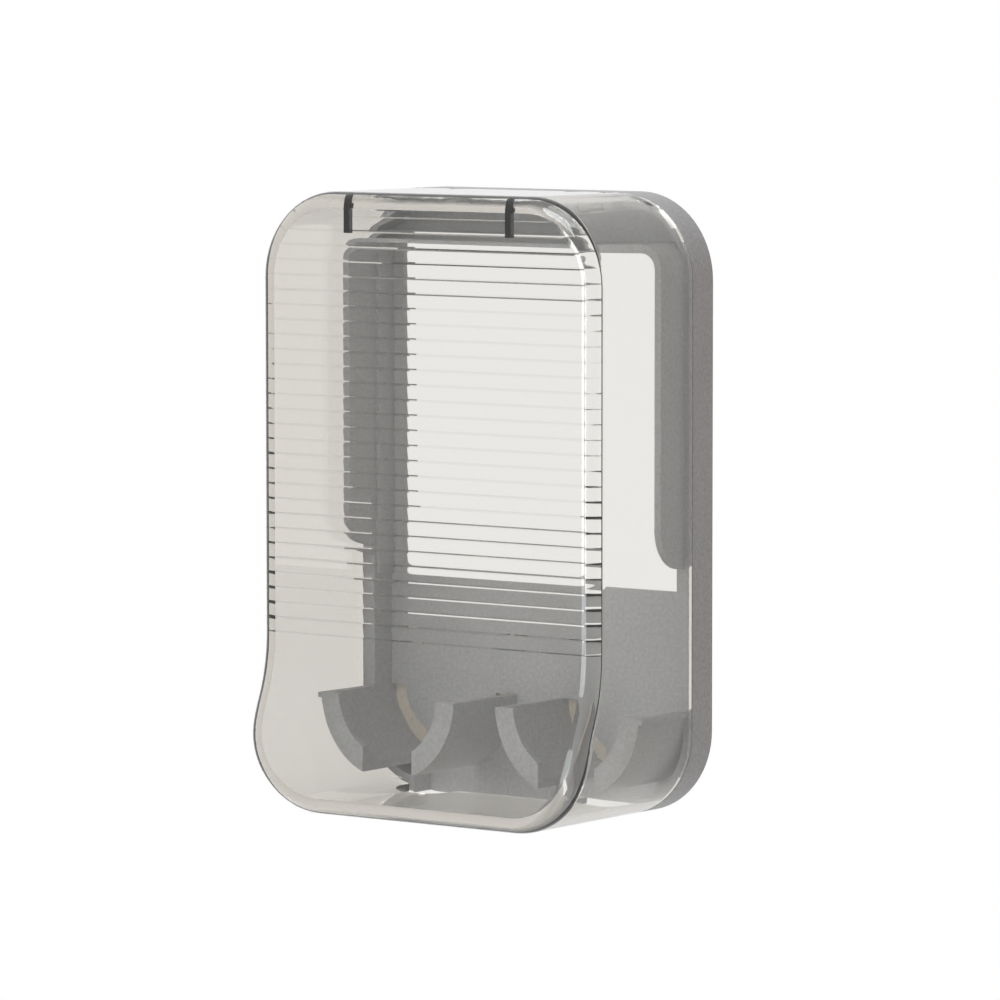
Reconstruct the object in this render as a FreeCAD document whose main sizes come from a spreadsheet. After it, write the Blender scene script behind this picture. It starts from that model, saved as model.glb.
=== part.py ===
import FreeCAD, Part
import math
import os

import Sketcher

# Outlet splash cover: a grey wall frame with a hood and two plug cradles, and a
# tinted clear lid that swings up on two steel pins.  Millimetres, X to the right,
# Y into the wall (the wall is y = 0, the cover stands in -Y), Z up.

V = FreeCAD.Vector
doc = FreeCAD.newDocument("OutletSplashCover")

# Driving sizes.  "ahead" is always a distance from the wall towards the room.
SIZES = {
    "width": 107.0,             # frame and lid, side to side
    "height": 160.0,            # frame and lid, top to bottom
    "corner": 22.3,             # outer corner of the outline
    "tape_ahead": 1.0,          # thickness of the adhesive foam
    "tape_inset": 1.6,          # foam edge inside the frame edge
    "tape_back": 0.8,           # foam edge behind the edge of the opening
    "floor_ahead": 2.6,         # front of the frame's floor
    "flange_ahead": 10.0,       # front of the frame's flange
    "ring": 3.9,                # width of the flange
    "flange_round": 0.8,        # outer front edge of the flange
    "join": 0.3,                # how far walls run into each other
    "opening_side": 4.2,        # hood's inner face to the side of the opening
    "opening_round": 2.0,
    "hood_ahead": 20.6,         # front of the hood
    "hood_wall": 2.0,
    "hood_drop": 13.2,          # hood below the top of the frame
    "hood_round": 6.0,          # outer corner of the hood
    "hood_rise": 6.9,           # lower end of the hood above the opening's lower edge
    "ledge_wide": 1.05,         # ledge inside the hood, beside the opening
    "ledge_ahead": 9.1,         # front of the ledge
    "hood_turn": 10.6,          # curve of the hood's lower ends
    "cradle_middle": 6.7,       # cradle's inner side from the middle
    "cradle_clear": 4.2,        # cradle to the lid's bottom wall
    "cradle_wall": 2.0,
    "cradle_ahead": 30.4,       # front of the cradles
    "lip_thick": 2.0,           # front lip, along Y
    "lip_wide": 5.7,            # front lip, from the cradle's outside
    "slot_half": 8.0,           # half of the cord slot under a cradle
    "window_wide": 4.7,         # moulding windows behind the lips
    "window_gap": 0.1,          # window edge to cradle wall
    "rest_out": 1.1,            # side lip on the outer arms
    "rest_tall": 1.5,
    "cord_in": 18.5,            # cord gap in the lower flange, from the frame's side
    "lid_ahead": 52.6,          # front of the lid above the flare
    "flare": 6.9,               # how far the lower front stands out further
    "flare_high": 45.6,         # its upper end above the bottom
    "flare_low": 12.0,          # its lower end above the bottom
    "lid_wall": 2.0,
    "panel": 2.2,               # front panel of the lid
    "edge_round": 4.5,          # front edge of the lid
    "rim_gap": 0.3,             # lid rim to flange
    "flute_top": 6.0,           # top flute below the top
    "flute_radius": 20.0,
    "flute_clear": 0.04,        # flute bottoms behind the panel's inner face
    "flute_count": 28,
    "ridge_wide": 0.7,          # sharp ridge between two flutes
    "ridge_tall": 0.12,
    "notch_ahead": 20.0,        # cord notches in the lid's bottom wall
    "notch_round": 6.0,
    "hinge_ahead": 12.8,        # hinge axis
    "hinge_drop": 2.4,          # hinge axis below the top
    "knuckle": 2.3,             # knuckle radius
    "pin_radius": 1.0,
    "pin_clear": 0.05,          # radial, in the lid's knuckles
    "pin_short": 0.2,           # pin end inside the outer face of an ear
    "ear_span": 11.2,           # from ear to ear on one pin
    "ear_thick": 3.0,
    "ear_side": 0.3,            # knuckle to ear
    "ear_clear": 0.5,           # lid to the front of an ear
    "strip_out": 25.6,          # rubber strip from the middle
    "strip_wide": 1.7,
    "strip_skin": 1.0,          # clear plastic left above a strip
    "strip_ahead": 2.1,         # clear plastic left ahead of a strip
    "strip_thick": 1.6,
    "strip_tall": 9.4,
}

sheet = doc.addObject("Spreadsheet::Sheet", "Sizes")
for row, (alias, number) in enumerate(SIZES.items(), start=1):
    sheet.set("A%d" % row, alias)
    sheet.set("B%d" % row, str(number))
    sheet.setAlias("B%d" % row, alias)
doc.recompute()


class Size:
    # A number together with the expression that gives it from the sheet.
    def __init__(self, number, text):
        self.number = number
        self.text = text

    def __add__(self, other):
        other = size(other)
        return Size(self.number + other.number, "(%s + %s)" % (self.text, other.text))

    def __sub__(self, other):
        other = size(other)
        return Size(self.number - other.number, "(%s - %s)" % (self.text, other.text))

    def __mul__(self, factor):
        return Size(self.number * factor, "(%s * %s)" % (self.text, factor))

    def __truediv__(self, factor):
        return Size(self.number / factor, "(%s / %s)" % (self.text, factor))

    def __neg__(self):
        return self * -1

    def __radd__(self, other):
        return size(other) + self

    def __rsub__(self, other):
        return size(other) - self


def size(value):
    if isinstance(value, Size):
        return value
    if isinstance(value, str):
        return Size(SIZES[value], "Sizes.%s" % value)
    return Size(float(value), "%s" % float(value))


# Places that follow from the driving sizes
REACH = size("width") / 2 - size("ring") + size("join")        # outer face of the hood
HOOD_TOP = size("height") / 2 - size("hood_drop")
OPENING_HALF = REACH - size("hood_wall") - size("opening_side")
OPENING_TOP = HOOD_TOP - size("hood_wall")
OPENING_LOW = OPENING_TOP - OPENING_HALF * 2
HOOD_FOOT = OPENING_LOW + size("hood_rise")
CRADLE_BIG = (REACH - size("cradle_middle")) / 2
CRADLE_INSIDE = CRADLE_BIG - size("cradle_wall")
CRADLE_OUT = (REACH + size("cradle_middle")) / 2
CRADLE_UP = size("lid_wall") + size("cradle_clear") + CRADLE_BIG - size("height") / 2
FLARE_TOP = size("flare_high") - size("height") / 2
FLARE_LOW = size("flare_low") - size("height") / 2
EAR_FAR = size("width") / 2 - size("corner") - size("ear_thick")
EAR_NEAR = EAR_FAR - size("ear_span")


def bind(thing, name, value):
    thing.setExpression(name, size(value).text)


def new_body(name):
    return doc.addObject("PartDesign::Body", name)


def plane_of(body, role):
    return [item for item in body.Origin.OriginFeatures if item.Role == role][0]


def new_sketch(body, name, role, ahead=0.0):
    # XZ_Plane looks along +Y, so a positive offset moves the sketch into the room.
    sketch = body.newObject("Sketcher::SketchObject", name)
    sketch.AttachmentSupport = [(plane_of(body, role), "")]
    sketch.MapMode = "FlatFace"
    bind(sketch, "AttachmentOffset.Base.z", ahead)
    sketch.AttachmentOffset = FreeCAD.Placement(V(0, 0, size(ahead).number), FreeCAD.Rotation())
    return sketch


def datum(sketch, kind, *where):
    # The last argument is the Size that drives the constraint.
    value = size(where[-1])
    index = sketch.addConstraint(Sketcher.Constraint(kind, *where[:-1], value.number))
    sketch.setExpression("Constraints[%d]" % index, value.text)


def pin_point(sketch, edge, end, across, up):
    datum(sketch, "DistanceX", -1, 1, edge, end, across)
    datum(sketch, "DistanceY", -1, 1, edge, end, up)


def polygon(sketch, points):
    points = [(size(a), size(b)) for a, b in points]
    first = sketch.GeometryCount
    count = len(points)
    for i, (a, b) in enumerate(points):
        c, d = points[(i + 1) % count]
        sketch.addGeometry(Part.LineSegment(V(a.number, b.number, 0), V(c.number, d.number, 0)))
    for i, (a, b) in enumerate(points):
        sketch.addConstraint(
            Sketcher.Constraint("Coincident", first + (i - 1) % count, 2, first + i, 1)
        )
        pin_point(sketch, first + i, 1, a, b)


def rounded_rectangle(sketch, left, right, low, high, radius):
    left, right, low, high, radius = [size(v) for v in (left, right, low, high, radius)]
    x1, x2, z1, z2, r = [v.number for v in (left, right, low, high, radius)]
    first = sketch.GeometryCount
    quarter = math.pi / 2
    sides = [
        ((x1 + r, z1), (x2 - r, z1)),
        ((x2, z1 + r), (x2, z2 - r)),
        ((x2 - r, z2), (x1 + r, z2)),
        ((x1, z2 - r), (x1, z1 + r)),
    ]
    turns = [(x2 - r, z1 + r, 3), (x2 - r, z2 - r, 0), (x1 + r, z2 - r, 1), (x1 + r, z1 + r, 2)]
    for (start, end), (cx, cz, k) in zip(sides, turns):
        sketch.addGeometry(Part.LineSegment(V(*start, 0), V(*end, 0)))
        circle = Part.Circle(V(cx, cz, 0), V(0, 0, 1), r)
        sketch.addGeometry(Part.ArcOfCircle(circle, k * quarter, (k + 1) * quarter))
    for i in range(4):
        side, turn, following = first + 2 * i, first + 2 * i + 1, first + (2 * i + 2) % 8
        sketch.addConstraint(Sketcher.Constraint("Tangent", side, 2, turn, 1))
        sketch.addConstraint(Sketcher.Constraint("Tangent", turn, 2, following, 1))
        sketch.addConstraint(
            Sketcher.Constraint("Vertical" if i % 2 else "Horizontal", side)
        )
        if i:
            sketch.addConstraint(Sketcher.Constraint("Equal", first + 1, turn))
    datum(sketch, "Radius", first + 1, radius)
    pin_point(sketch, first + 3, 3, right - radius, high - radius)
    pin_point(sketch, first + 7, 3, left + radius, low + radius)


def cradle_arm(sketch, side, out, up, big, small, half):
    # One arm of a half round cradle: from the level of its centre down to the slot.
    out, up, big, small, half = [size(v) for v in (out, up, big, small, half)]
    cx, cz, b, s, g = out.number, up.number, big.number, small.number, half.number
    first = sketch.GeometryCount
    for r in (b, s):
        tilt = math.asin(g / r)
        a1, a2 = (math.pi, 1.5 * math.pi - tilt) if side < 0 else (1.5 * math.pi + tilt, 2 * math.pi)
        circle = Part.Circle(V(cx, cz, 0), V(0, 0, 1), r)
        sketch.addGeometry(Part.ArcOfCircle(circle, a1, a2))
    low_end, top_end = (2, 1) if side < 0 else (1, 2)
    x = cx + side * g
    sketch.addGeometry(
        Part.LineSegment(
            V(x, cz - math.sqrt(b * b - g * g), 0), V(x, cz - math.sqrt(s * s - g * g), 0)
        )
    )
    sketch.addGeometry(Part.LineSegment(V(cx + side * s, cz, 0), V(cx + side * b, cz, 0)))
    for pair in (
        (first + 2, 1, first, low_end),
        (first + 2, 2, first + 1, low_end),
        (first + 3, 1, first + 1, top_end),
        (first + 3, 2, first, top_end),
        (first + 1, 3, first, 3),
    ):
        sketch.addConstraint(Sketcher.Constraint("Coincident", *pair))
    pin_point(sketch, first, 3, out, up)
    datum(sketch, "Radius", first, big)
    datum(sketch, "Radius", first + 1, small)
    sketch.addConstraint(Sketcher.Constraint("Vertical", first + 2))
    sketch.addConstraint(Sketcher.Constraint("Horizontal", first + 3))
    datum(sketch, "DistanceX", -1, 1, first + 2, 1, out + half * side)
    datum(sketch, "DistanceY", -1, 1, first + 3, 1, up)


def cradle_arms(sketch, big, small):
    for centre in (-CRADLE_OUT, CRADLE_OUT):
        for side in (-1, 1):
            cradle_arm(sketch, side, centre, CRADLE_UP, big, small, "slot_half")


def pad(body, name, sketch, length, both=False):
    feature = body.newObject("PartDesign::Pad", name)
    feature.Profile = sketch
    feature.Midplane = both
    feature.Length = size(length).number
    bind(feature, "Length", length)
    sketch.Visibility = False
    doc.recompute()
    return feature


def pocket(body, name, sketch, length, both=False):
    before = body.Shape.Volume
    feature = body.newObject("PartDesign::Pocket", name)
    feature.Profile = sketch
    feature.Midplane = both
    feature.Length = size(length).number
    bind(feature, "Length", length)
    doc.recompute()
    if body.Shape.Volume > before - 0.01:
        raise SystemExit("%s cuts nothing" % name)
    return feature


def fillet(body, name, base, edges, radius):
    feature = body.newObject("PartDesign::Fillet", name)
    feature.Base = (base, edges)
    feature.Radius = size(radius).number
    bind(feature, "Radius", radius)
    doc.recompute()
    return feature


def chamfer(body, name, base, edges, side):
    feature = body.newObject("PartDesign::Chamfer", name)
    feature.Base = (base, edges)
    feature.Size = size(side).number
    bind(feature, "Size", side)
    doc.recompute()
    return feature


def edges_at(shape, test):
    return [
        "Edge%d" % i
        for i, edge in enumerate(shape.Edges, start=1)
        if test(edge.BoundBox, edge.CenterOfMass)
    ]


def outline(sketch, inset=0.0):
    inset = size(inset)
    half_x = size("width") / 2 - inset
    half_z = size("height") / 2 - inset
    rounded_rectangle(sketch, -half_x, half_x, -half_z, half_z, size("corner") - inset)


def square_opening(sketch, extra=0.0):
    extra = size(extra)
    half = OPENING_HALF + extra
    rounded_rectangle(
        sketch, -half, half, OPENING_LOW - extra, OPENING_TOP + extra, size("opening_round") + extra
    )


# Adhesive foam on the back
tape = new_body("WallTape")
tape.Label = "wall_tape"
sketch = new_sketch(tape, "TapeOutline", "XZ_Plane")
outline(sketch, "tape_inset")
pad(tape, "TapePad", sketch, "tape_ahead")
sketch = new_sketch(tape, "TapeOpening", "XZ_Plane", "tape_ahead")
square_opening(sketch, "tape_back")
pocket(tape, "TapeCut", sketch, "tape_ahead")

# Wall frame: plate with a flange, hood, cradles and hinge ears in one moulding
frame = new_body("BaseFrame")
frame.Label = "base_frame"
sketch = new_sketch(frame, "FrameOutline", "XZ_Plane", "tape_ahead")
outline(sketch)
block = pad(frame, "FramePad", sketch, size("flange_ahead") - size("tape_ahead"))
front = -SIZES["flange_ahead"]
fillet(
    frame, "FlangeRound", block,
    edges_at(block.Shape, lambda box, c: abs(box.YMin - front) < 0.01 and abs(box.YMax - front) < 0.01),
    "flange_round",
)
sketch = new_sketch(frame, "TrayOutline", "XZ_Plane", "flange_ahead")
outline(sketch, "ring")
pocket(frame, "Tray", sketch, size("flange_ahead") - size("floor_ahead"))

# Hood over the opening: an arch whose legs stand on the floor
sketch = new_sketch(frame, "HoodOutline", "XZ_Plane", "floor_ahead")
reach, top, foot, wall, turn = REACH, HOOD_TOP, HOOD_FOOT, size("hood_wall"), size("hood_round")
polygon(
    sketch,
    [
        (-reach, foot), (-reach, top), (reach, top), (reach, foot),
        (reach - wall, foot), (reach - wall, top - wall),
        (wall - reach, top - wall), (wall - reach, foot),
    ],
)
hood = pad(frame, "Hood", sketch, size("hood_ahead") - size("floor_ahead"))


def corner_edges(shape, across, up):
    return edges_at(
        shape,
        lambda box, c: box.YLength > 5 and box.XLength < 0.01 and box.ZLength < 0.01
        and abs(abs(c.x) - across) < 0.02 and abs(c.z - up) < 0.02,
    )


r_number, t_number, w_number = reach.number, top.number, wall.number
hood_outer = fillet(
    frame, "HoodOuterRound", hood, corner_edges(hood.Shape, r_number, t_number), turn
)
hood_inner = fillet(
    frame, "HoodInnerRound", hood_outer,
    corner_edges(hood_outer.Shape, r_number - w_number, t_number - w_number), turn - wall,
)

# The legs' front edges sweep back to the flange at their lower ends
sketch = new_sketch(frame, "LegSweep", "YZ_Plane")
ahead, bend = size("hood_ahead"), size("hood_turn")
a, f, b = ahead.number, foot.number, bend.number
sketch.addGeometry(
    Part.ArcOfCircle(Part.Circle(V(b - a, b + f, 0), V(0, 0, 1), b), math.pi, 1.5 * math.pi)
)
sketch.addGeometry(Part.LineSegment(V(b - a, f, 0), V(b - a, f - 1, 0)))
sketch.addGeometry(Part.LineSegment(V(b - a, f - 1, 0), V(-a - 1, f - 1, 0)))
sketch.addGeometry(Part.LineSegment(V(-a - 1, f - 1, 0), V(-a - 1, b + f, 0)))
sketch.addGeometry(Part.LineSegment(V(-a - 1, b + f, 0), V(-a, b + f, 0)))
for pair in ((0, 2, 1, 1), (1, 2, 2, 1), (2, 2, 3, 1), (3, 2, 4, 1), (4, 2, 0, 1)):
    sketch.addConstraint(Sketcher.Constraint("Coincident", *pair))
pin_point(sketch, 0, 3, bend - ahead, bend + foot)
datum(sketch, "Radius", 0, bend)
pin_point(sketch, 2, 1, bend - ahead, foot - 1)
pin_point(sketch, 3, 1, -ahead - 1, foot - 1)
pin_point(sketch, 4, 1, -ahead - 1, bend + foot)
sketch.addConstraint(Sketcher.Constraint("Vertical", 1))
sketch.addConstraint(Sketcher.Constraint("Horizontal", 4))
pocket(frame, "LegEnds", sketch, size("width"), both=True)

# A narrow ledge along each side of the opening
sketch = new_sketch(frame, "LedgeOutline", "XZ_Plane", size("floor_ahead") - 0.4)
for side in (-1, 1):
    near, far = REACH - size("hood_wall") - size("ledge_wide"), REACH - size("hood_wall") / 2
    polygon(
        sketch,
        [
            (near * side, OPENING_LOW), (far * side, OPENING_LOW),
            (far * side, HOOD_TOP - size("hood_wall") / 2), (near * side, HOOD_TOP - size("hood_wall") / 2),
        ],
    )
pad(frame, "Ledges", sketch, size("ledge_ahead") - size("floor_ahead") + 0.4)

# Below the hood its legs run on as low walls, level with the flange, down to the cradles
sketch = new_sketch(frame, "LowWallOutline", "XZ_Plane", size("floor_ahead") - 0.4)
for side in (-1, 1):
    near, far, high = REACH - size("hood_wall"), REACH, HOOD_FOOT + size("hood_turn") / 2
    polygon(
        sketch,
        [(near * side, CRADLE_UP), (far * side, CRADLE_UP), (far * side, high), (near * side, high)],
    )
pad(frame, "LowWalls", sketch, size("flange_ahead") - size("floor_ahead") + 0.4)

# Two cradles for unplugged plugs, each with a lip in front and a slot for its cord
sketch = new_sketch(frame, "CradleWalls", "XZ_Plane", size("floor_ahead") - 0.4)
cradle_arms(sketch, CRADLE_BIG, CRADLE_INSIDE)
pad(frame, "Cradles", sketch, size("cradle_ahead") - size("floor_ahead") + 0.4)
sketch = new_sketch(frame, "CradleLips", "XZ_Plane", size("cradle_ahead") - size("lip_thick"))
cradle_arms(sketch, CRADLE_BIG - size("cradle_wall") / 2, CRADLE_BIG - size("lip_wide"))
pad(frame, "Lips", sketch, "lip_thick")
sketch = new_sketch(frame, "SideRests", "XZ_Plane", size("flange_ahead") - 0.4)
edge = REACH
low, high = CRADLE_UP - size("rest_tall"), CRADLE_UP
for side in (-1, 1):
    polygon(
        sketch,
        [
            ((edge - 0.8) * side, low), ((edge + size("rest_out")) * side, low),
            ((edge + size("rest_out")) * side, high), ((edge - 0.8) * side, high),
        ],
    )
pad(frame, "Rests", sketch, size("cradle_ahead") - size("flange_ahead") + 0.4)

# Hinge ears on the upper flange, two for each pin
axis_back, axis_up = -size("hinge_ahead"), size("height") / 2 - size("hinge_drop")


def ear_profile(sketch, radius, back):
    # A round nose about the hinge axis with a straight stem back to the flange.
    y, z, r = axis_back.number, axis_up.number, size(radius).number
    sketch.addGeometry(
        Part.ArcOfCircle(Part.Circle(V(y, z, 0), V(0, 0, 1), r), 0.5 * math.pi, 1.5 * math.pi)
    )
    sketch.addGeometry(Part.LineSegment(V(y, z - r, 0), V(back.number, z - r, 0)))
    sketch.addGeometry(Part.LineSegment(V(back.number, z - r, 0), V(back.number, z + r, 0)))
    sketch.addGeometry(Part.LineSegment(V(back.number, z + r, 0), V(y, z + r, 0)))
    for pair in ((0, 2, 1, 1), (3, 2, 0, 1)):
        sketch.addConstraint(Sketcher.Constraint("Tangent", *pair))
    for pair in ((1, 2, 2, 1), (2, 2, 3, 1)):
        sketch.addConstraint(Sketcher.Constraint("Coincident", *pair))
    sketch.addConstraint(Sketcher.Constraint("Vertical", 2))
    sketch.addConstraint(Sketcher.Constraint("Horizontal", 1))
    sketch.addConstraint(Sketcher.Constraint("Horizontal", 3))
    datum(sketch, "Radius", 0, radius)
    pin_point(sketch, 0, 3, axis_back, axis_up)
    datum(sketch, "DistanceX", -1, 1, 2, 1, back)


ears = []
for name, place in (("NearEar", EAR_NEAR), ("FarEar", EAR_FAR)):
    sketch = new_sketch(frame, name + "Profile", "YZ_Plane", place)
    ear_profile(sketch, "knuckle", size(0.6) - size("flange_ahead"))
    ears.append(pad(frame, name, sketch, "ear_thick"))
mirrored = frame.newObject("PartDesign::Mirrored", "EarsMirrored")
mirrored.Originals = ears
mirrored.MirrorPlane = (plane_of(frame, "YZ_Plane"), [""])
frame.Tip = mirrored
doc.recompute()


def round_bore(body, name, radius, length):
    sketch = new_sketch(body, name + "Circle", "YZ_Plane")
    sketch.addGeometry(
        Part.Circle(V(axis_back.number, axis_up.number, 0), V(0, 0, 1), size(radius).number)
    )
    datum(sketch, "Radius", 0, radius)
    pin_point(sketch, 0, 3, axis_back, axis_up)
    return pocket(body, name, sketch, length, both=True)


round_bore(frame, "PinBore", "pin_radius", size("width"))

# Openings through the floor: outlet, moulding windows behind the lips, cord gap
sketch = new_sketch(frame, "Opening", "XZ_Plane", "floor_ahead")
square_opening(sketch)
pocket(frame, "OutletOpening", sketch, size("floor_ahead"))
sketch = new_sketch(frame, "WindowArcs", "XZ_Plane", "floor_ahead")
inside = CRADLE_INSIDE - size("window_gap")
cradle_arms(sketch, inside, inside - size("window_wide"))
pocket(frame, "Windows", sketch, size("floor_ahead"))
sketch = new_sketch(frame, "CordGapOutline", "XZ_Plane", size("flange_ahead") + 0.5)
half, bottom = size("width") / 2 - size("cord_in"), size("height") / 2
polygon(
    sketch,
    [
        (-half, -bottom - 2), (half, -bottom - 2),
        (half, size("ring") * 1.4 - bottom), (-half, size("ring") * 1.4 - bottom),
    ],
)
pocket(frame, "CordGap", sketch, size("flange_ahead") - size("floor_ahead") + 0.5)


# Lid: an outer form and a hollow, each a rounded block with the same flared front
def lid_form(name, inset, start, front, ease, edge):
    body = new_body(name)
    sketch = new_sketch(body, name + "Outline", "XZ_Plane", start)
    outline(sketch, inset)
    pad(body, name + "Block", sketch, size(front) + size("flare") - size(start))
    # Side profile of the front: straight, a soft S of two equal arcs, straight
    sketch = new_sketch(body, name + "Front", "YZ_Plane")
    y1, y2 = -size(front), -size(front) - size("flare")
    z1, z2 = FLARE_TOP, FLARE_LOW
    run, rise = z1 - z2, size("flare")
    radius_s = (run.number**2 + rise.number**2) / (4 * rise.number)
    far, high, low = y2 - 2, size("height") / 2 + 2, -size("height") / 2 - 2
    sweep = math.asin(run.number / 2 / radius_s)
    upper = Part.Circle(V(y1.number - radius_s, z1.number, 0), V(0, 0, 1), radius_s)
    lower = Part.Circle(V(y2.number + radius_s, z2.number, 0), V(0, 0, 1), radius_s)
    sketch.addGeometry(Part.LineSegment(V(y1.number, high.number, 0), V(y1.number, z1.number, 0)))
    sketch.addGeometry(Part.ArcOfCircle(upper, 2 * math.pi - sweep, 2 * math.pi))
    sketch.addGeometry(Part.ArcOfCircle(lower, math.pi - sweep, math.pi))
    sketch.addGeometry(Part.LineSegment(V(y2.number, z2.number, 0), V(y2.number, low.number, 0)))
    sketch.addGeometry(Part.LineSegment(V(y2.number, low.number, 0), V(far.number, low.number, 0)))
    sketch.addGeometry(Part.LineSegment(V(far.number, low.number, 0), V(far.number, high.number, 0)))
    sketch.addGeometry(Part.LineSegment(V(far.number, high.number, 0), V(y1.number, high.number, 0)))
    for pair in ((0, 2, 1, 2), (1, 1, 2, 1), (2, 2, 3, 1)):
        sketch.addConstraint(Sketcher.Constraint("Tangent", *pair))
    for pair in ((3, 2, 4, 1), (4, 2, 5, 1), (5, 2, 6, 1), (6, 2, 0, 1)):
        sketch.addConstraint(Sketcher.Constraint("Coincident", *pair))
    sketch.addConstraint(Sketcher.Constraint("Equal", 1, 2))
    pin_point(sketch, 0, 1, y1, high)
    pin_point(sketch, 0, 2, y1, z1)
    pin_point(sketch, 3, 1, y2, z2)
    pin_point(sketch, 4, 1, y2, low)
    pin_point(sketch, 5, 1, far, low)
    pin_point(sketch, 6, 1, far, high)
    cut = pocket(body, name + "Flare", sketch, size("width") + 4, both=True)
    limit = y1.number + 0.01
    rim = edges_at(cut.Shape, lambda box, c: box.YMax < limit and not (
        box.XLength > 60 and box.ZLength < 0.01 and abs(c.z) < abs(z2.number) + 1
    ))
    ease(body, name + "Edge", cut, rim, edge)
    return body


start = size("flange_ahead") + size("rim_gap")
outer = lid_form("LidOuter", 0.0, start, "lid_ahead", fillet, "edge_round")
hollow = lid_form(
    "LidHollow", "lid_wall", start - 1.0, size("lid_ahead") - size("panel"),
    chamfer, size("edge_round") - size("panel"),
)

# Flutes: shallow hollows across the inside of the front panel, from the flare up,
# with a sharp ridge between each two. They end before the sloping inner edges.
comb = new_body("LidFlutes")
sketch = new_sketch(comb, "FluteArcs", "YZ_Plane")
count = SIZES["flute_count"]
pitch = (size("height") / 2 - size("flute_top") - FLARE_TOP) / count
bow, ridge = size("flute_radius"), size("ridge_wide") / 2
face = -(size("lid_ahead") - size("panel") - size("flute_clear"))
base = FLARE_TOP
half_chord = (pitch / 2 - ridge).number
p, r = pitch.number, bow.number
chord_text = (pitch / 2 - ridge).text
sink = Size(
    r - math.sqrt(r * r - half_chord**2),
    "(%s - sqrt(%s * %s - %s * %s))" % (bow.text, bow.text, bow.text, chord_text, chord_text),
)
side, crest = face + sink, face + sink + size("ridge_tall")
tilt = math.asin(half_chord / r)
behind = face - 1.0
points = [(behind, base), (crest, base)]
arcs = []
for i in range(count):
    arcs.append(len(points))
    points += [
        (side, base + pitch * i + ridge), (side, base + pitch * (i + 1) - ridge),
        (crest, base + pitch * (i + 1)),
    ]
points.append((behind, base + pitch * count))
for i, (a1, b1) in enumerate(points):
    a2, b2 = points[(i + 1) % len(points)]
    if i in arcs:
        middle = V(face.number + r, (b1.number + b2.number) / 2, 0)
        sketch.addGeometry(
            Part.ArcOfCircle(Part.Circle(middle, V(0, 0, 1), r), math.pi - tilt, math.pi + tilt)
        )
    else:
        sketch.addGeometry(Part.LineSegment(V(a1.number, b1.number, 0), V(a2.number, b2.number, 0)))
for i, (across, up) in enumerate(points):
    before = (i - 1) % len(points)
    own, other = (2 if i in arcs else 1), (1 if before in arcs else 2)
    sketch.addConstraint(Sketcher.Constraint("Coincident", before, other, i, own))
    if i in arcs and i != arcs[0]:
        sketch.addConstraint(Sketcher.Constraint("Equal", arcs[0], i))
    pin_point(sketch, i, own, across, up)
datum(sketch, "Radius", arcs[0], bow)
pad(comb, "FluteBar", sketch, size("width") - size("edge_round") * 2, both=True)


def cut_from(name, base, tool):
    result = doc.addObject("Part::Cut", name)
    result.Base, result.Tool = base, tool
    doc.recompute()
    return result


def joined(name, shapes):
    result = doc.addObject("Part::MultiFuse", name)
    result.Shapes = shapes
    doc.recompute()
    return result


def new_box(name, x, y, z, wide, deep, tall):
    box = doc.addObject("Part::Box", name)
    for prop, value in (
        ("Length", wide), ("Width", deep), ("Height", tall),
        ("Placement.Base.x", x), ("Placement.Base.y", y), ("Placement.Base.z", z),
    ):
        bind(box, prop, value)
    return box


def new_rod(name, radius, x, length):
    # A round bar along X on the hinge axis
    rod = doc.addObject("Part::Cylinder", name)
    rod.Placement = FreeCAD.Placement(V(), FreeCAD.Rotation(V(0, 1, 0), 90))
    for prop, value in (
        ("Radius", radius), ("Height", length), ("Placement.Base.x", x),
        ("Placement.Base.y", axis_back), ("Placement.Base.z", axis_up),
    ):
        bind(rod, prop, value)
    return rod


shell = cut_from("LidShell", outer, cut_from("FlutedHollow", hollow, comb))

# Knuckles inside the upper rear edge, between the ears
knuckle_from = EAR_NEAR + size("ear_thick") + size("ear_side")
knuckle_long = EAR_FAR - size("ear_side") - knuckle_from
knuckles = [
    new_rod("KnuckleLeft", "knuckle", -knuckle_from - knuckle_long, knuckle_long),
    new_rod("KnuckleRight", "knuckle", knuckle_from, knuckle_long),
]
solid_lid = joined("LidWithKnuckles", [shell] + knuckles)

# The upper rear edge is rounded about the hinge axis, so that it turns clear of the flange
half_wide = size("width") / 2 + 1
swing = cut_from(
    "SwingRelief",
    new_box("SwingBox", -half_wide, axis_back, axis_up, half_wide * 2, size("knuckle") + 3, 6),
    new_rod("SwingRound", "knuckle", -half_wide - 1, half_wide * 2 + 2),
)
tools = [swing, new_rod("KnuckleBore", size("pin_radius") + size("pin_clear"), -half_wide, half_wide * 2)]
for side, label in ((-1, "Left"), (1, "Right")):
    for name, place in (("NearSlot", EAR_NEAR), ("FarSlot", EAR_FAR)):
        wide = size("ear_thick") + size("ear_side") * 2
        x = place - size("ear_side")
        if side < 0:
            x = -x - wide
        deep = size("knuckle") + size("ear_clear")
        tools.append(
            new_box(
                name + label, x, axis_back - deep,
                axis_up - size("knuckle") - size("ear_clear"), wide, deep + 6, 8,
            )
        )

# Cord notches in the bottom wall, under the cradles' slots
for side, label in ((-1, "Left"), (1, "Right")):
    notch = new_body("Notch" + label)
    sketch = new_sketch(notch, "NotchOutline" + label, "XY_Plane", -size("height") / 2 - 5)
    middle = CRADLE_OUT * side
    rounded_rectangle(
        sketch, middle - size("slot_half"), middle + size("slot_half"),
        -size("notch_ahead"), 2.0, "notch_round",
    )
    pad(notch, "NotchPad" + label, sketch, 9.0)
    tools.append(notch)
whole_lid = cut_from("LidTrimmed", solid_lid, joined("LidCuts", tools))

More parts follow.
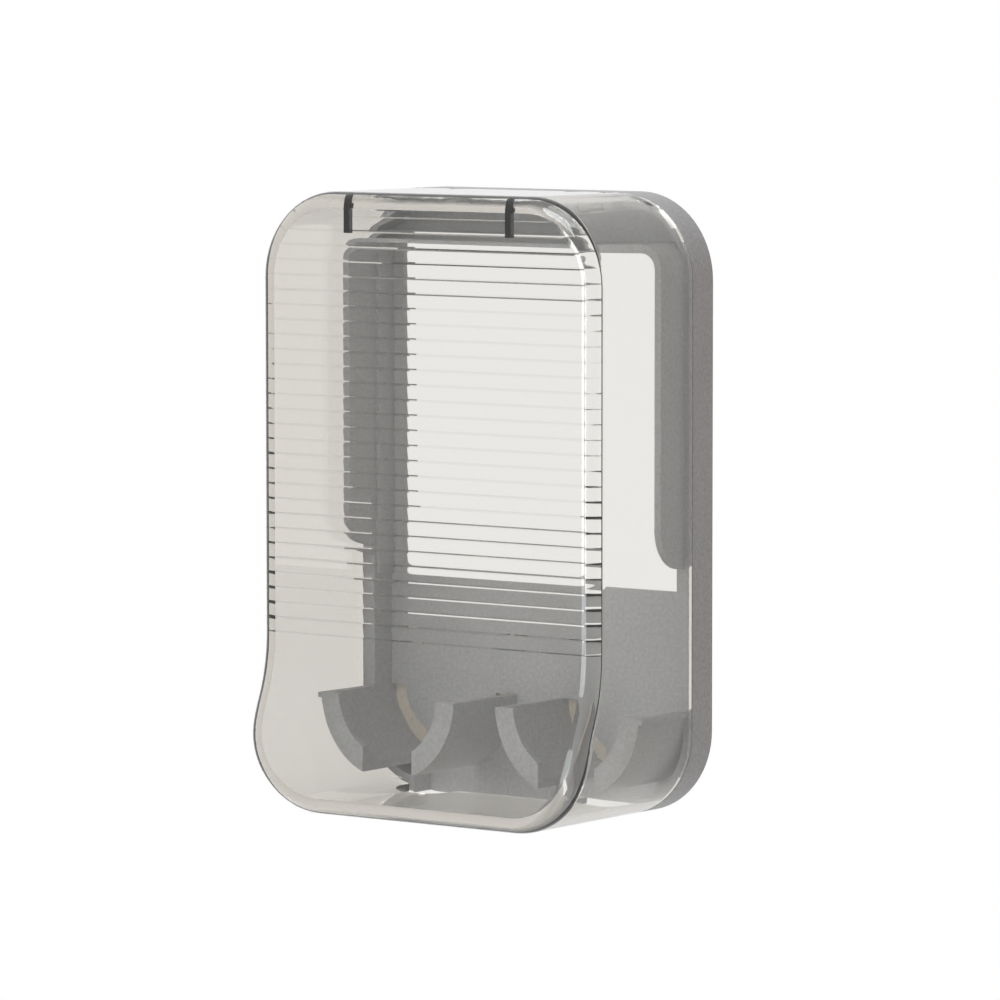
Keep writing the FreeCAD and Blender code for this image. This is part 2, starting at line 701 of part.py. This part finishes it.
# Rubber strips let into the inside of the lid's upper front edge
strips = []
for side, label in ((-1, "left"), (1, "right")):
    strip = new_box(
        "Bumper" + label.title(), size("strip_out") * side - size("strip_wide") / 2,
        size("strip_ahead") - size("lid_ahead"),
        size("height") / 2 - size("strip_skin") - size("strip_tall"),
        "strip_wide", "strip_thick", "strip_tall",
    )
    strip.Label = "bumper_" + label
    strips.append(strip)
lid = cut_from("ClearLid", whole_lid, joined("StripSlots", strips))
lid.Label = "clear_lid"
parts = [frame, tape, lid] + strips

# Hinge pins, held in the ears
short = size("pin_short")
pin_long = size("ear_span") + size("ear_thick") - short * 2
for label, x in (("left", -EAR_NEAR - short - pin_long), ("right", EAR_NEAR + short)):
    pin = new_rod("HingePin" + label.title(), "pin_radius", x, pin_long)
    pin.Label = "hinge_pin_" + label
    parts.append(pin)

doc.recompute()
for item in doc.Objects:
    if "Invalid" in item.State or "Error" in item.State:
        raise SystemExit("%s did not build: %s" % (item.Name, item.State))
    if item.TypeId == "Sketcher::SketchObject" and not item.Shape.isValid():
        raise SystemExit("%s is not a sound sketch" % item.Name)

os.makedirs("parts", exist_ok=True)
for item in parts:
    shape = item.Shape
    if shape.isNull() or not shape.isValid() or shape.Volume < 1:
        raise SystemExit("%s has no sound shape" % item.Label)
    box = shape.optimalBoundingBox(False, False)
    print(
        "%-16s solids %d volume %9.1f x %7.2f %7.2f y %7.2f %7.2f z %7.2f %7.2f" % (
            item.Label, len(shape.Solids), shape.Volume,
            box.XMin, box.XMax, box.YMin, box.YMax, box.ZMin, box.ZMax,
        )
    )
    shape.exportStep("parts/%s.step" % item.Label)
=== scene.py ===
import math

import bmesh
import bpy
from mathutils import Matrix, Vector

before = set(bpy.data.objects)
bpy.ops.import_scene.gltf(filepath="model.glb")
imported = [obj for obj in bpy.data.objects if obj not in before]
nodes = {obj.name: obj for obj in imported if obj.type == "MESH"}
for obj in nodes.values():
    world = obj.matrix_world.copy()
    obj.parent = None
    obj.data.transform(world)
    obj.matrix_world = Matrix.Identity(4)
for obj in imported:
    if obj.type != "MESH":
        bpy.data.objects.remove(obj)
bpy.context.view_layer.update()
print("frame loaded:", ", ".join(sorted(nodes)))


# A wire is one value that runs between shader nodes
class Wire:
    def __init__(self, finish, socket):
        self.finish = finish
        self.socket = socket

    def maths(self, operation, *values):
        return self.finish.node("ShaderNodeMath", {"operation": operation}, dict(enumerate(values)))

    def __add__(self, other):
        return self.maths("ADD", self, other)

    def __sub__(self, other):
        return self.maths("SUBTRACT", self, other)

    def __mul__(self, other):
        return self.maths("MULTIPLY", self, other)

    def __gt__(self, other):
        return self.maths("GREATER_THAN", self, other)

    def __lt__(self, other):
        return self.maths("LESS_THAN", self, other)

    def __abs__(self):
        return self.maths("ABSOLUTE", self)

    __radd__ = __add__


# The nodes of one material, or of the world
class Finish:
    def __init__(self, holder):
        self.holder = holder
        holder.use_nodes = True
        self.tree = holder.node_tree
        self.shader = self.tree.nodes.get("Principled BSDF")
        self.output = self.tree.nodes.get("Material Output")
        self.place = self.node("ShaderNodeTexCoord", output="Object")

    def feed(self, socket, value):
        if isinstance(value, Wire):
            self.tree.links.new(value.socket, socket)
        else:
            socket.default_value = value

    def node(self, kind, settings=None, values=None, output=0):
        made = self.tree.nodes.new(kind)
        for name, value in (settings or {}).items():
            setattr(made, name, value)
        for name, value in (values or {}).items():
            self.feed(made.inputs[name], value)
        return Wire(self, made.outputs[output])

    def stretched(self, scale):
        return self.node("ShaderNodeMapping", None, {"Vector": self.place, "Scale": scale})

    def axis(self, name, place=None):
        return self.node("ShaderNodeSeparateXYZ", None, {0: place or self.place}, output=name)

    def noise(self, scale, detail, place=None):
        return self.node(
            "ShaderNodeTexNoise", None,
            {"Vector": place or self.place, "Scale": scale, "Detail": detail},
        )

    def tint(self, mask, low, high):
        return self.node(
            "ShaderNodeMix", {"data_type": "RGBA"},
            {"Factor": mask, 6: (*low, 1), 7: (*high, 1)}, output=2,
        )

    def relief(self, height, strength, depth):
        return self.node(
            "ShaderNodeBump", None,
            {"Height": height, "Strength": strength, "Distance": depth},
        )

    def set(self, **values):
        for name, value in values.items():
            self.feed(self.shader.inputs[name.replace("_", " ")], value)


# Finishes of the pieces. Colours are linear, lengths are metres, and the scales
# of clouds, grain, cells and the like are per metre.

greyShell = {
    "dark": (0.255, 0.26, 0.265),
    "light": (0.585, 0.60, 0.625),
    "clouds": 38,
    "cloudShare": 0.2,
    "grain": 1200,                  # spark grain of the mould
    "roughness": 0.45,
    "roughnessSpread": 0.12,
    "reliefStrength": 0.25,
    "reliefDepth": 0.00005,
}


def makeGreyShell():
    look = greyShell
    finish = Finish(bpy.data.materials.new("greyShell"))
    clouds = finish.noise(look["clouds"], 4)
    grain = finish.noise(look["grain"], 2)
    mottle = clouds * look["cloudShare"] + grain * (1 - look["cloudShare"])
    finish.set(
        Base_Color=finish.tint(mottle, look["dark"], look["light"]),
        Roughness=look["roughness"] + grain * look["roughnessSpread"],
        Normal=finish.relief(grain, look["reliefStrength"], look["reliefDepth"]),
    )
    return finish


smokeClear = {
    "haze": (0.985, 0.98, 0.972),
    "tint": (1.0, 0.998, 0.995),
    "drift": 22,
    "roughness": 0.02,
    "ior": 1.57,
    "absorbs": (0.60, 0.565, 0.50),
    "density": 200.0,
    "ridgeStart": -0.0344,          # lowest ridge of the flutes
    "ridgePitch": 0.0038714,
    "ridgeDepth": 0.0009,
    "ridgeSharpness": 5.0,
    "ridgeFade": 5.0,               # how much shallower the notches get per metre upward
    "unevenness": 150,
    "slopeFacing": (0.6, 0.85),     # the sloping inner edge by its normal's share of depth
    "slopeFront": -0.05036,         # and behind this depth
}


def makeSmokeClear():
    look = smokeClear
    finish = Finish(bpy.data.materials.new("smokeClear"))
    drift = finish.noise(look["drift"], 3)
    # The flutes' ridges run on round the inner edge, as notches on its slope
    up = finish.axis("Z")
    along = (up - look["ridgeStart"]) * (1 / look["ridgePitch"])
    nearRidge = abs(along.maths("FRACT", along) - 0.5) * 2
    facing = abs(finish.axis("Y", finish.node("ShaderNodeTexCoord", output="Normal")))
    least, most = look["slopeFacing"]
    onSlope = (facing > least) * (facing < most) * (up > look["ridgeStart"])
    onSlope = onSlope * (finish.axis("Y") > look["slopeFront"])
    notch = nearRidge.maths("POWER", nearRidge, look["ridgeSharpness"]) * onSlope
    uneven = finish.noise(look["unevenness"], 2) - up * look["ridgeFade"]
    finish.set(
        Base_Color=finish.tint(drift, look["haze"], look["tint"]),
        Roughness=drift * look["roughness"],
        IOR=look["ior"],
        Transmission_Weight=1.0,
        Normal=finish.relief(notch * uneven, 1.0, look["ridgeDepth"]),
    )
    body = finish.node(
        "ShaderNodeVolumeAbsorption", None,
        {"Color": (*look["absorbs"], 1), "Density": look["density"]},
    )
    finish.feed(finish.output.inputs["Volume"], body)
    return finish


creamFoam = {
    "dark": (0.70, 0.63, 0.53),
    "light": (0.88, 0.82, 0.72),
    "cells": 1900.0,
    "roughness": 0.86,
    "roughnessSpread": 0.1,
    "reliefStrength": 0.6,
    "reliefDepth": 0.0002,
}


def makeCreamFoam():
    look = creamFoam
    finish = Finish(bpy.data.materials.new("creamFoam"))
    cells = finish.node(
        "ShaderNodeTexVoronoi", None, {"Vector": finish.place, "Scale": look["cells"]},
    )
    finish.set(
        Base_Color=finish.tint(cells, look["light"], look["dark"]),
        Roughness=look["roughness"] + cells * look["roughnessSpread"],
        Normal=finish.relief(cells, look["reliefStrength"], look["reliefDepth"]),
    )
    return finish


darkRubber = {
    "dark": (0.008, 0.0075, 0.007),
    "light": (0.022, 0.020, 0.018),
    "dust": 900,
    "roughness": 0.5,
    "roughnessSpread": 0.25,
    "reliefStrength": 0.3,
    "reliefDepth": 0.0001,
}


def makeDarkRubber():
    look = darkRubber
    finish = Finish(bpy.data.materials.new("darkRubber"))
    dust = finish.noise(look["dust"], 5)
    finish.set(
        Base_Color=finish.tint(dust, look["dark"], look["light"]),
        Roughness=look["roughness"] + dust * look["roughnessSpread"],
        Normal=finish.relief(dust, look["reliefStrength"], look["reliefDepth"]),
    )
    return finish


pinSteel = {
    "dark": (0.50, 0.50, 0.51),
    "light": (0.68, 0.68, 0.69),
    "lines": 2500,
    "stretch": (0.05, 1, 1),        # the drawing lines run along the pin
    "roughness": 0.22,
    "roughnessSpread": 0.15,
    "reliefStrength": 0.2,
    "reliefDepth": 0.00003,
}


def makePinSteel():
    look = pinSteel
    finish = Finish(bpy.data.materials.new("pinSteel"))
    drawn = finish.noise(look["lines"], 3, finish.stretched(look["stretch"]))
    finish.set(
        Base_Color=finish.tint(drawn, look["dark"], look["light"]),
        Metallic=1.0,
        Roughness=look["roughness"] + drawn * look["roughnessSpread"],
        Normal=finish.relief(drawn, look["reliefStrength"], look["reliefDepth"]),
    )
    return finish


finishes = {
    "grey_shell": makeGreyShell(),
    "smoke_clear": makeSmokeClear(),
    "adhesive_foam": makeCreamFoam(),
    "dark_rubber": makeDarkRubber(),
    "pin_steel": makePinSteel(),
}
for piece in nodes.values():
    for slot in piece.material_slots:
        slot.material = finishes[slot.material.name].holder
print("finishes made:", ", ".join(finishes))


view = {
    "azimuth": 36.01, "elevation": 4.857,   # degrees
    "distance": 1.58805,                    # metres
    "lens": 219.123,
    "shift": (-0.04557, -0.00451),
}


def placed(name, data):
    thing = bpy.data.objects.new(name, data)
    bpy.context.scene.collection.objects.link(thing)
    return thing


def aimed(thing, place, towards):
    thing.location = place
    thing.rotation_mode = "QUATERNION"
    thing.rotation_quaternion = towards.to_track_quat("-Z", "Y")


def makeCamera():
    turn, rise = math.radians(view["azimuth"]), math.radians(view["elevation"])
    flat = math.cos(rise)
    back = Vector((math.sin(turn) * flat, -math.cos(turn) * flat, math.sin(rise)))
    camera = placed("camera", bpy.data.cameras.new("camera"))
    camera.data.lens = view["lens"]
    camera.data.shift_x, camera.data.shift_y = view["shift"]
    aimed(camera, back * view["distance"], -back)
    bpy.context.scene.camera = camera


room = {
    "level": 0.30,                      # how strongly the room lights the cover
    "warmth": (1.14, 1.0, 0.90),
}


def seenDirectly(finish):
    # 1 for what the camera, a reflection or a view through clear plastic looks at
    path = "ShaderNodeLightPath"
    seen = finish.node(path, output="Is Camera Ray")
    for name in ("Is Glossy Ray", "Is Transmission Ray"):
        seen = seen.maths("MAXIMUM", seen, finish.node(path, output=name))
    return seen


def makeRoom():
    world = bpy.data.worlds.new("room")
    bpy.context.scene.world = world
    bpy.context.scene.view_settings.view_transform = "Standard"
    air = Finish(world)
    seen = seenDirectly(air)
    backdrop = air.tree.nodes["Background"]
    air.feed(backdrop.inputs["Color"], air.tint(seen, room["warmth"], (1, 1, 1)))
    air.feed(backdrop.inputs["Strength"], seen * (1 - room["level"]) + room["level"])


floorLook = {
    "height": -0.42,                    # metres, well below the cover
    "half": 0.9,
    "colour": (0.86, 0.86, 0.86),
    "roughness": 0.9,
    "glow": 0.9,                        # share of plain white that the camera sees on it
}


def makeFloor():
    shape = bmesh.new()
    bmesh.ops.create_grid(
        shape, x_segments=1, y_segments=1, size=floorLook["half"],
        matrix=Matrix.Translation((0, 0, floorLook["height"])),
    )
    floor = placed("floor", bpy.data.meshes.new("floor"))
    shape.to_mesh(floor.data)
    shape.free()
    paint = Finish(bpy.data.materials.new("floorPaint"))
    paint.set(Base_Color=(*floorLook["colour"], 1), Roughness=floorLook["roughness"])
    glow = paint.node("ShaderNodeEmission", None, {"Color": (1, 1, 1, 1), "Strength": 1.0})
    both = paint.node(
        "ShaderNodeMixShader", None,
        {0: seenDirectly(paint) * floorLook["glow"], 1: Wire(paint, paint.shader.outputs[0]), 2: glow},
    )
    paint.feed(paint.output.inputs["Surface"], both)
    floor.data.materials.append(paint.holder)


# Lamps aim at the middle of the cover's back; places in metres, powers in watts
lamps = {
    "key": {
        "place": (-0.2, -1.9, 2.2), "side": 1.6, "power": 62.0, "colour": (0.94, 0.97, 1.0),
    },
    "low": {
        "place": (-0.35, -2.4, 0.1), "side": 1.2, "power": 20.0, "colour": (0.94, 0.97, 1.0),
    },
}


def makeLamp(name):
    lamp = bpy.data.lights.new(name, "AREA")
    lamp.size = lamps[name]["side"]
    lamp.energy = lamps[name]["power"]
    lamp.color = lamps[name]["colour"]
    aimed(placed(name, lamp), lamps[name]["place"], -Vector(lamps[name]["place"]))


makeCamera()
makeRoom()
makeFloor()
for name in lamps:
    makeLamp(name)
print("camera, room, floor and lamps placed")
